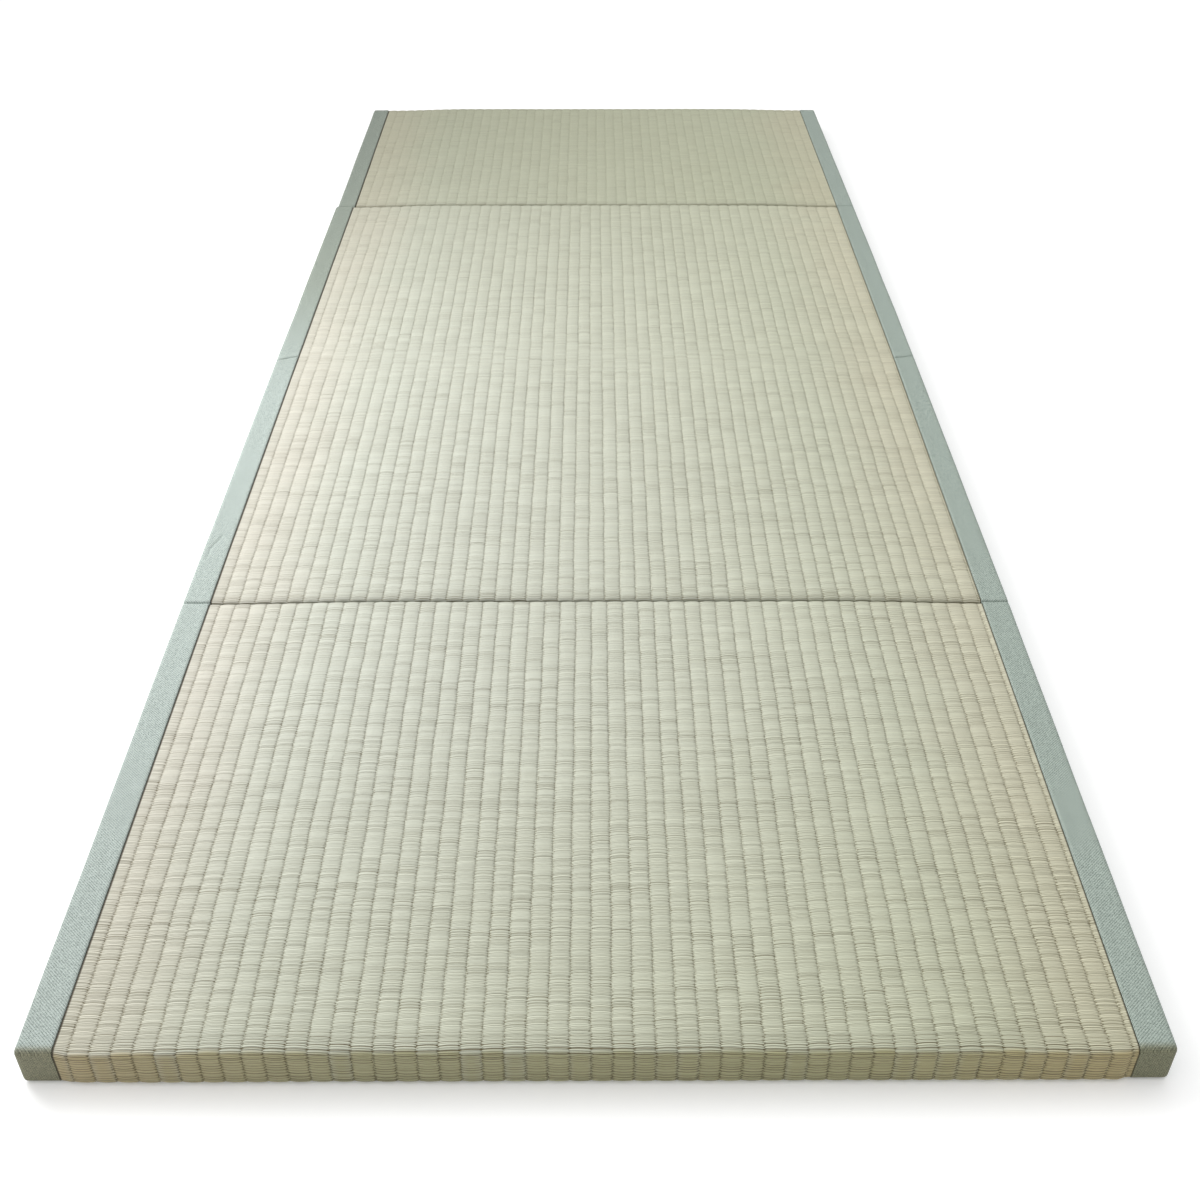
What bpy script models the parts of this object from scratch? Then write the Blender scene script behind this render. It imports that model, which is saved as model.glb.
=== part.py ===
"""Folding tatami mat, lying open: a rush-faced board in four sections and a cloth binding on each long edge.

X runs across the mat, Y along it with the front end at -Y, and Z up from the surface it lies on.
Lengths are in metres; the tables give millimetres, as their column names say.
"""

import math
from collections import namedtuple

import bmesh
import bpy

MM = 0.001

# Driving dimensions
WIDTH = 0.800
HEIGHT = 0.035
END_RADIUS = 0.005
SIDE_RADIUS = 0.004
BINDING_WIDTH = 0.0265
CLOTH_THICKNESS = 0.0012
GAP = 0.0003

# Each section's length along the mat, front to back
SectionRow = namedtuple("SectionRow", "name length_mm")
SECTIONS = (
    SectionRow("front", 514.0),
    SectionRow("second", 518.0),
    SectionRow("third", 510.0),
    SectionRow("rear", 468.0),
)

# Where a fold's slit is open, and how its binding creases run: their place along Y at the inner rim and
# at the outer edge of the left and right binding, measured from the fold
FoldRow = namedtuple("FoldRow", "name opens left_inner_mm left_outer_mm right_inner_mm right_outer_mm")
FOLDS = (
    FoldRow("first", "top", 0.0, 0.0, 0.0, 0.0),
    FoldRow("second", "under", 4.0, -6.0, -3.0, 3.0),
    FoldRow("third", "top", 0.0, 0.0, 0.0, 0.0),
)

# The two long edges wander: how far each lies from its straight line, across the mat, at the ends and folds
EdgeRow = namedtuple("EdgeRow", "name left_mm right_mm")
EDGES = (
    EdgeRow("front end", -1.6, -1.1),
    EdgeRow("first fold", -4.1, 2.5),
    EdgeRow("second fold", -4.5, 4.5),
    EdgeRow("third fold", -2.4, 2.4),
    EdgeRow("back end", -2.3, -1.3),
)

# Slits between the sections: the web is what joins two sections below or above the slit
SLIT_HALF_WIDTH = 0.0006
SLIT_HALF_WIDTH_UNDER_BINDING = 0.0024
SHOULDER_RADIUS = 0.006
WEB = 0.007

# The rush facing: a crown across the mat, and a rib for each pair of warp strings
RUSH_BELOW_BINDING = 0.0008
CROWN = 0.003
CROWN_RISE = 0.150
RIB_PITCH = 0.015055
FIRST_GROOVE = 0.03337
RibPoint = namedtuple("RibPoint", "share_of_pitch depth_mm")
RIB_SHAPE = (
    RibPoint(0.00, 1.00),
    RibPoint(0.27, 0.10),
    RibPoint(0.80, 0.00),
)

# The board under the bindings lies deeper by the cloth, and dips below the binding's crease at the second fold
BOARD_INSET = CLOTH_THICKNESS + GAP
BOARD_DIP = 0.0012
BOARD_DIP_REACH = 0.016

# Across a binding's crease: place along Y from its middle, and share of the crease's depth
CreasePoint = namedtuple("CreasePoint", "along_mm share")
CREASE_SHAPE = (
    CreasePoint(-2.40, 0.0),
    CreasePoint(-1.00, 0.2),
    CreasePoint(-0.25, 1.0),
    CreasePoint(0.25, 1.0),
    CreasePoint(1.00, 0.2),
    CreasePoint(2.40, 0.0),
)
# Depth of a crease at the five places around a binding, from the top rim to the underside
CreaseDepths = namedtuple("CreaseDepths", "top_rim top_shoulder side_top side_bottom bottom")
OPEN_ABOVE = CreaseDepths(0.0040, 0.0025, 0.0020, 0.0, 0.0)
OPEN_BELOW = CreaseDepths(0.0007, 0.0007, 0.0, 0.0012, 0.0025)

# Steps in a quarter round, and the smallest radius that a binding's corner shrinks to
ARC_STEPS = 3
SHOULDER_STEPS = 2
BOTTOM_STEPS = 2
SMALLEST_CORNER = 0.0008

RUSH_COLOUR = (0.57, 0.57, 0.43, 1.0)
BINDING_COLOUR = (0.41, 0.49, 0.45, 1.0)

# Places along the mat that follow from the sections
LENGTH = sum(row.length_mm for row in SECTIONS) * MM
FRONT = -LENGTH / 2
BACK = LENGTH / 2
FOLD_Y = [FRONT + sum(row.length_mm for row in SECTIONS[: i + 1]) * MM for i in range(len(FOLDS))]
EDGE_Y = [FRONT, *FOLD_Y, BACK]
HALF_WIDTH = WIDTH / 2
BINDING_RIM = HALF_WIDTH - BINDING_WIDTH


def clear_scene():
    for old in list(bpy.data.objects):
        bpy.data.objects.remove(old, do_unlink=True)


def edge_shift(side, y):
    """How far the long edge on this side (-1 left, 1 right) lies from its straight line at y."""
    shifts = [(row.left_mm if side < 0 else row.right_mm) * MM for row in EDGES]
    for i in range(len(EDGE_Y) - 1):
        if y <= EDGE_Y[i + 1] or i == len(EDGE_Y) - 2:
            share = (y - EDGE_Y[i]) / (EDGE_Y[i + 1] - EDGE_Y[i])
            share = min(1.0, max(0.0, share))
            return shifts[i] + (shifts[i + 1] - shifts[i]) * share


def laid_out(x, y, z):
    """The point of the straight mat as it lies: the middle stays, and each edge follows its wander."""
    side = -1 if x < 0 else 1
    return (x + edge_shift(side, y) * abs(x) / HALF_WIDTH, y, z)


def make_object(name, faces_of, material):
    """A closed object from a function that adds its faces to a bmesh."""
    bm = bmesh.new()
    faces_of(bm)
    bmesh.ops.recalc_face_normals(bm, faces=bm.faces)
    mesh = bpy.data.meshes.new(name)
    bm.to_mesh(mesh)
    bm.free()
    mesh.materials.append(material)
    mesh.shade_smooth()
    mesh.set_sharp_from_angle(angle=math.radians(35))
    made = bpy.data.objects.new(name, mesh)
    bpy.context.collection.objects.link(made)
    return made


def make_material(name, colour, roughness):
    material = bpy.data.materials.new(name)
    material.use_nodes = True
    shader = material.node_tree.nodes["Principled BSDF"]
    shader.inputs["Base Color"].default_value = colour
    shader.inputs["Roughness"].default_value = roughness
    shader.inputs["Metallic"].default_value = 0.0
    return material


# The board is a grid: stations follow the outline of its lengthwise section, columns lie across the mat.
# A station has its place and outward normal, the shares of rush relief and crown that it takes, the side of a
# slit that it stands on, and how far the board dips there under the bindings.
Station = namedtuple("Station", "y z ny nz relief crown slit dip")
Column = namedtuple("Column", "x inset crown under_binding")


def arc_stations(y, z, radius, start, end, steps, relief, crown, slit=0):
    """Stations on a rounding, its angles in degrees from +Z towards +Y. Relief and crown go from first to last."""
    stations = []
    for i in range(steps + 1):
        share = i / steps
        angle = math.radians(start + (end - start) * share)
        ny = math.sin(angle)
        nz = math.cos(angle)
        stations.append(
            Station(
                y + radius * ny,
                z + radius * nz,
                ny,
                nz,
                relief[0] + (relief[1] - relief[0]) * share,
                crown[0] + (crown[1] - crown[0]) * share,
                slit,
                0.0,
            )
        )
    return stations


def slit_above(y):
    """Two rounded shoulders and the slit's floor between them."""
    top = HEIGHT - SHOULDER_RADIUS
    reach = SHOULDER_RADIUS
    before = arc_stations(y - reach, top, SHOULDER_RADIUS, 0, 90, SHOULDER_STEPS, (1, 1), (1, 1), -1)
    after = arc_stations(y + reach, top, SHOULDER_RADIUS, -90, 0, SHOULDER_STEPS, (1, 1), (1, 1), 1)
    floor = [Station(y, WEB, 0, 0, 0, 0, side, 0) for side in (-1, 1)]
    return before + floor + after


def fold_through(y):
    """The rush runs on over the fold; only the board under the bindings dips."""
    places = ((-BOARD_DIP_REACH, 0.0), (0.0, BOARD_DIP), (BOARD_DIP_REACH, 0.0))
    return [Station(y + along, HEIGHT, 0, 1, 1, 1, 0, dip) for along, dip in places]


def upper_stations():
    """From the front end's lower edge, up, over the four sections and down to the back end's lower edge."""
    low = END_RADIUS
    high = HEIGHT - END_RADIUS
    stations = arc_stations(FRONT + low, low, END_RADIUS, -180, -90, BOTTOM_STEPS, (0, 1), (0, 0))
    stations += arc_stations(FRONT + low, high, END_RADIUS, -90, 0, ARC_STEPS, (1, 1), (0.5, 1))
    for fold, y in zip(FOLDS, FOLD_Y):
        stations += slit_above(y) if fold.opens == "top" else fold_through(y)
    stations += arc_stations(BACK - low, high, END_RADIUS, 0, 90, ARC_STEPS, (1, 1), (1, 0.5))
    stations += arc_stations(BACK - low, low, END_RADIUS, 90, 180, BOTTOM_STEPS, (1, 0), (0, 0))
    return stations


def under_stations():
    """For each fold, back to front, the stations on the underside between the two sections it joins."""
    groups = []
    for fold, y in reversed(list(zip(FOLDS, FOLD_Y))):
        lower = [Station(y, 0.0, 0, -1, 0, 0, side, 0) for side in (1, -1)]
        if fold.opens == "under":
            upper = [Station(y, HEIGHT - WEB, 0, 0, 0, 0, side, 0) for side in (1, -1)]
            groups.append([lower[0], *upper, lower[1]])
        else:
            groups.append(lower)
    return groups


def crown_at(x):
    """The rush rises smoothly from each binding towards the middle."""
    share = min(1.0, (BINDING_RIM - abs(x)) / CROWN_RISE)
    return CROWN * share * share * (3 - 2 * share)


def rib_columns():
    """Columns of the rush between the bindings, with a groove every rib pitch."""
    edge = BINDING_RIM - 2 * GAP
    found = {}
    first = -HALF_WIDTH + FIRST_GROOVE
    for rib in range(-2, math.ceil(WIDTH / RIB_PITCH)):
        for point in RIB_SHAPE:
            x = first + (rib + point.share_of_pitch) * RIB_PITCH
            if abs(x) < edge - GAP:
                found[x] = point.depth_mm * MM
    inner = sorted(found)
    rows = [(-edge, found[inner[0]]), *((x, found[x]) for x in inner), (edge, found[inner[-1]])]
    return [Column(x, RUSH_BELOW_BINDING + depth, crown_at(x), False) for x, depth in rows]


def binding_columns(side):
    """Columns of the board under one binding, outer edge last: a flat and a rounding down to the side."""
    radius = SIDE_RADIUS - BOARD_INSET
    start = HALF_WIDTH - SIDE_RADIUS
    columns = [Column(side * (BINDING_RIM - GAP), BOARD_INSET, 0.0, True)]
    for i in range(SHOULDER_STEPS + 1):
        angle = math.radians(90) * i / SHOULDER_STEPS
        x = start + radius * math.sin(angle)
        columns.append(Column(side * x, BOARD_INSET + radius * (1 - math.cos(angle)), 0.0, True))
    return columns


def board_point(station, column):
    """Where a station and a column cross."""
    relief = 1.0 if column.under_binding else station.relief
    inset = column.inset * relief
    half_slit = SLIT_HALF_WIDTH_UNDER_BINDING if column.under_binding else SLIT_HALF_WIDTH
    on_shoulder = station.ny != 0 or station.nz > 0
    reach = SLIT_HALF_WIDTH if on_shoulder else half_slit
    y = station.y + station.slit * reach - station.ny * inset
    z = station.z - station.nz * inset + column.crown * station.crown
    if column.under_binding:
        z -= station.dip
    return laid_out(column.x, y, z)


def add_board(bm):
    """The board: grid on top and ends, one flat face a section on the underside, and its two closed sides."""
    columns = binding_columns(-1)[::-1] + rib_columns() + binding_columns(1)
    side_count = SHOULDER_STEPS + 2
    last = len(columns) - 1
    over = upper_stations()
    top = [[bm.verts.new(board_point(s, c)) for c in columns] for s in over]
    for row, following in zip(top, top[1:]):
        for j in range(last):
            bm.faces.new((row[j], row[j + 1], following[j + 1], following[j]))

    # Only the columns beside and under the bindings cross the underside
    outer = [*range(side_count + 1), *range(last - side_count, last + 1)]
    middle = side_count
    groups = [[[bm.verts.new(board_point(s, columns[j])) for j in outer] for s in g] for g in under_stations()]

    def strip(row, following, skip_middle):
        for j in range(len(outer) - 1):
            if not (skip_middle and j == middle):
                bm.faces.new((row[j], row[j + 1], following[j + 1], following[j]))

    def ends_of(row):
        return [row[j] for j in outer]

    rows = [ends_of(top[-1])]
    for group in groups:
        for row in group:
            rows.append(row)
    rows.append(ends_of(top[0]))
    for i, (row, following) in enumerate(zip(rows, rows[1:])):
        at_end = i == 0 or i == len(rows) - 2
        strip(row, following, at_end)
    rush = slice(side_count, last - side_count + 1)
    bm.faces.new([*top[-1][rush], rows[1][middle + 1], rows[1][middle]])
    bm.faces.new([*top[0][rush], rows[-2][middle + 1], rows[-2][middle]])

    for side in (0, -1):
        close_board_side(bm, [row[side] for row in top], [[row[side] for row in g] for g in groups[::-1]], over)


def close_board_side(bm, upper, under, over):
    """One face a section, and the webs between them. The upper line runs front to back, so do the folds."""
    start = 0
    before = []
    for fold, group in zip(FOLDS, under):
        if fold.opens == "top":
            floor = next(i for i in range(start, len(over)) if over[i].nz == 0 and over[i].ny == 0)
            bm.faces.new([*upper[start : floor + 1], group[1], *before])
            bm.faces.new([upper[floor], upper[floor + 1], group[0], group[1]])
            start = floor + 1
            before = [group[0]]
        else:
            crest = next(i for i in range(start, len(over)) if over[i].dip > 0)
            bm.faces.new([*upper[start : crest + 1], group[2], group[3], *before])
            bm.faces.new([upper[crest], group[1], group[2]])
            start = crest
            before = [group[0], group[1]]
    bm.faces.new([*upper[start:], *before])


def offset_line(points, distance):
    """The line of points moved to its lower side by a distance, its corners mitred."""
    moved = []
    for i, (y, v) in enumerate(points):
        normals = []
        for a, b in ((i - 1, i), (i, i + 1)):
            if a >= 0 and b < len(points):
                dy = points[b][0] - points[a][0]
                dv = points[b][1] - points[a][1]
                size = math.hypot(dy, dv)
                normals.append((dv / size, -dy / size))
            else:
                normals.append((0.0, -1.0))
        ny = (normals[0][0] + normals[1][0]) / 2
        nv = (normals[0][1] + normals[1][1]) / 2
        square = ny * ny + nv * nv
        moved.append((y + distance * ny / square, v + distance * nv / square))
    return moved


def crease_line(depth, offset):
    """Across a crease of this depth: (along, level) pairs on the cloth's outer face, or that far below it."""
    return offset_line([(p.along_mm * MM, -depth * p.share) for p in CREASE_SHAPE], offset)


def rounding_inset(radius, distance):
    """How far a rounded edge of this radius draws back at a distance from the end."""
    reach = max(0.0, radius - distance)
    return radius - math.sqrt(max(0.0, radius * radius - reach * reach))


# One line around a binding, from the top rim over the side to the bottom rim
BindingLine = namedtuple("BindingLine", "y_rim y_edge y_under levels x_side z_top z_bottom radius")


def end_lines(end, direction, offset):
    """Lines where the binding rounds into its closed end. Direction points into the mat."""
    radius = END_RADIUS - offset
    side_radius = SIDE_RADIUS - offset
    lines = []
    for i in range(ARC_STEPS + 1):
        angle = math.radians(90) * i / ARC_STEPS
        inward = radius * (1 - math.cos(angle))
        y = end + direction * (offset + inward)
        drop = offset + radius * (1 - math.sin(angle))
        draw = rounding_inset(side_radius, inward)
        lines.append(
            BindingLine(
                y,
                y,
                y,
                (0.0,) * 5,
                HALF_WIDTH - offset - draw,
                HEIGHT - drop,
                drop,
                max(side_radius - draw, SMALLEST_CORNER),
            )
        )
    return lines if direction > 0 else lines[::-1]


def fold_lines(fold, y, side, offset):
    """Lines across the creases of one fold."""
    depths = OPEN_ABOVE if fold.opens == "top" else OPEN_BELOW
    inner = (fold.left_inner_mm if side < 0 else fold.right_inner_mm) * MM
    outer = (fold.left_outer_mm if side < 0 else fold.right_outer_mm) * MM
    creases = [crease_line(depth, offset) for depth in depths]
    lines = []
    for i in range(len(CREASE_SHAPE)):
        levels = tuple(crease[i][1] + offset for crease in creases)
        lines.append(
            BindingLine(
                y + inner + creases[0][i][0],
                y + outer + creases[1][i][0],
                y + creases[4][i][0],
                levels,
                HALF_WIDTH - offset,
                HEIGHT - offset,
                offset,
                SIDE_RADIUS - offset,
            )
        )
    return lines


def binding_loop(line, side, rim):
    """The points of one line, top rim first."""
    top_rim, top_shoulder, side_top, side_bottom, bottom = line.levels
    centre_x = line.x_side - line.radius
    upper_z = line.z_top - line.radius
    lower_z = line.z_bottom + line.radius
    points = [(rim, line.y_rim, line.z_top + top_rim)]
    for i in range(ARC_STEPS + 1):
        angle = math.radians(90) * i / ARC_STEPS
        x = centre_x + (line.radius + side_top) * math.sin(angle)
        z = upper_z + (line.radius + top_shoulder) * math.cos(angle)
        y = line.y_edge + (line.y_under - line.y_edge) * math.sin(angle) ** 2
        points.append((x, y, z))
    for i in range(ARC_STEPS + 1):
        angle = math.radians(90) * i / ARC_STEPS
        x = centre_x + (line.radius + side_bottom) * math.cos(angle)
        z = lower_z - (line.radius + bottom) * math.sin(angle)
        points.append((x, line.y_under, z))
    points.append((rim, line.y_under, line.z_bottom - bottom))
    return [laid_out(side * x, y, z) for x, y, z in points]


def add_binding(side):
    """The faces of the binding on one side: its outer face, its inner face, and the rim that joins them."""

    def faces_of(bm):
        shells = []
        for offset in (0.0, CLOTH_THICKNESS):
            lines = end_lines(FRONT, 1, offset)
            for fold, y in zip(FOLDS, FOLD_Y):
                lines += fold_lines(fold, y, side, offset)
            lines += end_lines(BACK, -1, offset)
            loops = [[bm.verts.new(p) for p in binding_loop(line, side, BINDING_RIM)] for line in lines]
            for loop, following in zip(loops, loops[1:]):
                for j in range(len(loop) - 1):
                    bm.faces.new((loop[j], loop[j + 1], following[j + 1], following[j]))
            bm.faces.new(loops[0])
            bm.faces.new(loops[-1])
            shells.append([*(loop[0] for loop in loops), *(loop[-1] for loop in reversed(loops))])
        outer, inner = shells
        for i in range(len(outer)):
            j = (i + 1) % len(outer)
            bm.faces.new((outer[i], outer[j], inner[j], inner[i]))

    return faces_of


clear_scene()
rush = make_material("woven_igusa_rush", RUSH_COLOUR, 0.75)
cloth = make_material("woven_binding_cloth", BINDING_COLOUR, 0.85)
make_object("rush_board", add_board, rush)
make_object("binding_left", add_binding(-1), cloth)
make_object("binding_right", add_binding(1), cloth)
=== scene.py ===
"""The folding tatami mat, lying open: its rush facing, its two cloth bindings, and the studio around it.

X runs across the mat, Y along it with the front end at -Y, and Z up. Lengths are in metres unless a name
says millimetres.
"""

import math
from collections import namedtuple

import bmesh
import bpy
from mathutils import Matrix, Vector, noise


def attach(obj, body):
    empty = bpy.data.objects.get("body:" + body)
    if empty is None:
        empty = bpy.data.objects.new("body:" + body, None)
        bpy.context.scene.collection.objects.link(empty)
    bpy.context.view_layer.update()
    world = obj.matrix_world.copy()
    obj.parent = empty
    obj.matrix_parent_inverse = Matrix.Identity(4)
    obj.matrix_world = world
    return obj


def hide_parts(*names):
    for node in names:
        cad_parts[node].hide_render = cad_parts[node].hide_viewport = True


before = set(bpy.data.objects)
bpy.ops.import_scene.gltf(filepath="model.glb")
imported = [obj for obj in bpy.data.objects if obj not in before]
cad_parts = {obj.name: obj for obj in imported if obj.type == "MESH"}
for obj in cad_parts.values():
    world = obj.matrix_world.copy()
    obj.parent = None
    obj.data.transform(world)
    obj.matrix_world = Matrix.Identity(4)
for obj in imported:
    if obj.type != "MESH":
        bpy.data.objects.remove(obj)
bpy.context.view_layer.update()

# The rush facing
# A sheet of igusa rush, woven on paired warp strings, laid over the flat filling and turned down over both
# ends. It dips into a slit at the first and third fold, runs on over the second, and is sewn in under the
# bindings at both sides. Facing and filling show as one board.
MM = 0.001
WIDTH = 0.800
HEIGHT = 0.035
HALF_WIDTH = WIDTH / 2
END_RADIUS = 0.005
SIDE_RADIUS = 0.004
BINDING_RIM = HALF_WIDTH - 0.0265
CLOTH_THICKNESS = 0.0012
GAP = 0.0003

SECTION_LENGTHS_MM = (514.0, 518.0, 510.0, 468.0)
LENGTH = sum(SECTION_LENGTHS_MM) * MM
FRONT = -LENGTH / 2
BACK = LENGTH / 2
FOLD_Y = [FRONT + sum(SECTION_LENGTHS_MM[: i + 1]) * MM for i in range(3)]
EDGE_Y = [FRONT, *FOLD_Y, BACK]

# At each fold: where its slit is open, and how far along the binding's crease starts and ends, left and right
Fold = namedtuple("Fold", "opens left_inner_mm left_outer_mm right_inner_mm right_outer_mm")
FOLDS = (
    Fold("top", 0.0, 0.0, 0.0, 0.0),
    Fold("under", 4.0, -6.0, -3.0, 3.0),
    Fold("top", 0.0, 0.0, 0.0, 0.0),
)

# How far each section's long edges lie from their straight lines, at its front end and at its back end. The
# last section lies a little to the right of the others, so the left edge has a small step there.
Edge = namedtuple("Edge", "left_front_mm left_back_mm right_front_mm right_back_mm")
EDGES = (
    Edge(-1.6, -4.1, -1.1, 2.5),
    Edge(-4.1, -4.5, 2.5, 4.5),
    Edge(-4.5, -3.8, 4.5, 2.4),
    Edge(-1.0, -2.3, 2.4, -1.3),
)

SLIT_HALF_WIDTH = 0.0008
SLIT_HALF_WIDTH_UNDER_BINDING = 0.0024
SHOULDER_RADIUS = 0.0035
WEB = 0.007
RUSH_BELOW_BINDING = 0.0008
RUSH_EDGE = BINDING_RIM - 2 * GAP
CROWN = 0.003
CROWN_RISE = 0.150
BOARD_INSET = CLOTH_THICKNESS + GAP
BOARD_DIP = 0.0032
BOARD_DIP_REACH = 0.016
RUSH_TURNED_UNDER = 0.022
RUSH_PROUD_AT_ENDS = 0.0025
FOOT_RADIUS = 0.0055
PROUD_RISE = 0.010

# One rib, from a groove to the next: how deep the facing is pressed in at each share of the pitch
RIB_PITCH = 0.015055
RibPoint = namedtuple("RibPoint", "share depth_mm")
RIB = (
    RibPoint(0.00, 1.00),
    RibPoint(0.05, 0.72),
    RibPoint(0.12, 0.47),
    RibPoint(0.20, 0.34),
    RibPoint(0.31, 0.12),
    RibPoint(0.44, 0.00),
    RibPoint(0.64, 0.05),
    RibPoint(0.83, 0.24),
    RibPoint(0.94, 0.60),
)
# At the slits the ribs end in rounded tips, so the grooves between them are deeper there
DEEPER_AT_SLITS = 1.8
ROW_STEP = 0.021
# The grooves wander, but less and less from the first to the second of these distances from the seams
SEWN_DOWN = (0.015, 0.002)

# The facing is woven in three pieces, parted by the slits at the first and third fold, and their grooves
# don't line up. For each piece, front to back: a groove near the left edge, one inside and one near the
# right edge, with their numbers counted from the left and their places from the middle of the mat.
Groove = namedtuple("Groove", "number place_mm")
PIECES = (
    (Groove(0, -362.8), Groove(24, -5.0), Groove(48, 353.7)),
    (Groove(1, -361.3), Groove(18, -98.4), Groove(48, 356.4)),
    (Groove(2, -357.2), Groove(24, -13.7), Groove(48, 359.0)),
)
PIECE_ENDS = (FOLD_Y[0], FOLD_Y[2])
SQUEEZED = 0.00001
# How far past its outermost rib lines the facing runs on to the seams, in ribs
TO_SEAM = 0.05
RIB_NUMBERS = range(-1, 50)
ROUNDING_STEPS = 6
SIDE_STEPS = 2


def edge_shift(side, y):
    """How far the long edge on this side (-1 left, 1 right) lies from its straight line at y."""
    i = sum(y > fold for fold in FOLD_Y)
    share = min(1.0, max(0.0, (y - EDGE_Y[i]) / (EDGE_Y[i + 1] - EDGE_Y[i])))
    left = EDGES[i].left_front_mm + (EDGES[i].left_back_mm - EDGES[i].left_front_mm) * share
    right = EDGES[i].right_front_mm + (EDGES[i].right_back_mm - EDGES[i].right_front_mm) * share
    return (left if side < 0 else right) * MM


def laid_out(x, y, z):
    """The point of the straight mat as it lies: the middle stays, and each edge follows its wander."""
    side = -1 if x < 0 else 1
    return (x + edge_shift(side, y) * abs(x) / HALF_WIDTH, y, z)


# A row of the facing: its place and outward normal along the mat, the shares of rib and crown that it takes,
# the side of a slit that it stands on, and how far the board dips there under the bindings
Row = namedtuple("Row", "y z ny nz rib crown slit dip")
# A column: its place in each piece of the facing, its inset, whether it is under a binding, and its number of
# ribs from the first groove
Column = namedtuple("Column", "places inset covered rib_place")


def rounded_rows(y, z, radius, start, end, rib=(1, 1), crown=(1, 1), slit=0):
    """Rows on a rounding, its angles in degrees from +Z towards +Y. Rib and crown go from first to last."""
    rows = []
    for i in range(ROUNDING_STEPS + 1):
        share = i / ROUNDING_STEPS
        angle = math.radians(start + (end - start) * share)
        ny, nz = math.sin(angle), math.cos(angle)
        rib_here = rib[0] + (rib[1] - rib[0]) * share
        crown_here = crown[0] + (crown[1] - crown[0]) * share
        rows.append(Row(y + radius * ny, z + radius * nz, ny, nz, rib_here, crown_here, slit, 0.0))
    return rows


def facing_rows():
    """From the front end's lower edge, up, over the four sections and down to the back end's lower edge."""
    foot, high = FOOT_RADIUS, HEIGHT - END_RADIUS
    rows = rounded_rows(FRONT + foot, foot, foot, -180, -90, (0, 1), (0, 0))
    rows += rounded_rows(FRONT + END_RADIUS, high, END_RADIUS, -90, 0, (1, 1), (0.5, 1))
    for fold, y in zip(FOLDS, FOLD_Y):
        if fold.opens == "top":
            top, reach = HEIGHT - SHOULDER_RADIUS, SHOULDER_RADIUS
            rows += rounded_rows(y - reach, top, SHOULDER_RADIUS, 0, 90, slit=-1)
            rows += [Row(y, WEB, 0, 0, 0, 0, side, 0) for side in (-1, 1)]
            rows += rounded_rows(y + reach, top, SHOULDER_RADIUS, -90, 0, slit=1)
        else:
            dips = ((-BOARD_DIP_REACH, 0.0), (0.0, BOARD_DIP), (BOARD_DIP_REACH, 0.0))
            rows += [Row(y + along, HEIGHT, 0, 1, 1, 1, 0, dip) for along, dip in dips]
    rows += rounded_rows(BACK - END_RADIUS, high, END_RADIUS, 0, 90, (1, 1), (1, 0.5))
    rows += rounded_rows(BACK - foot, foot, foot, 90, 180, (1, 0), (0, 0))
    filled = [rows[0]]
    for row in rows[1:]:
        before = filled[-1]
        steps = math.ceil((row.y - before.y) / ROW_STEP) if row.nz == 1 and before.nz == 1 else 1
        for i in range(1, steps):
            filled.append(Row(*(a + (b - a) * i / steps for a, b in zip(before, row))))
        filled.append(row)
    return filled


def groove_place(piece, rib_place):
    """Where a place counted in ribs lies across this piece, from the three grooves that are known."""
    low, middle, high = PIECES[piece]
    start, end = (low, middle) if rib_place < middle.number else (middle, high)
    share = (rib_place - start.number) / (end.number - start.number)
    return (start.place_mm + (end.place_mm - start.place_mm) * share) * MM


def facing_columns():
    """Left to right: the left side under its binding, the rush between the bindings, and the right side."""
    radius = SIDE_RADIUS - BOARD_INSET
    sides = [Column((BINDING_RIM - GAP,) * 3, BOARD_INSET, True, 0.0)]
    for i in range(SIDE_STEPS + 1):
        angle = math.radians(90) * i / SIDE_STEPS
        x = HALF_WIDTH - SIDE_RADIUS + radius * math.sin(angle)
        sides.append(Column((x,) * 3, BOARD_INSET + radius * (1 - math.cos(angle)), True, 0.0))
    left = [column._replace(places=tuple(-x for x in column.places)) for column in reversed(sides)]
    counted = [rib + point.share for rib in RIB_NUMBERS for point in RIB]
    shown = [q for q in counted if any(abs(groove_place(i, q)) < RUSH_EDGE - GAP for i in range(3))]
    rush = [Column((-RUSH_EDGE,) * 3, RUSH_BELOW_BINDING, False, shown[0] - TO_SEAM)]
    for i, q in enumerate(shown):
        # Where a piece has no such rib, its columns are squeezed together at the seam
        nearest = RUSH_EDGE - SQUEEZED * (i + 1)
        furthest = RUSH_EDGE - SQUEEZED * (len(shown) - i)
        places = tuple(min(furthest, max(-nearest, groove_place(piece, q))) for piece in range(3))
        rush.append(Column(places, RUSH_BELOW_BINDING, False, q))
    rush.append(Column((RUSH_EDGE,) * 3, RUSH_BELOW_BINDING, False, shown[-1] + TO_SEAM))
    return left + rush + sides, len(sides)


def place_in(row, column):
    """A column's place across the mat in the piece that this row is in."""
    return column.places[sum(row.y + row.slit * SHOULDER_RADIUS > end for end in PIECE_ENDS)]


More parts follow.
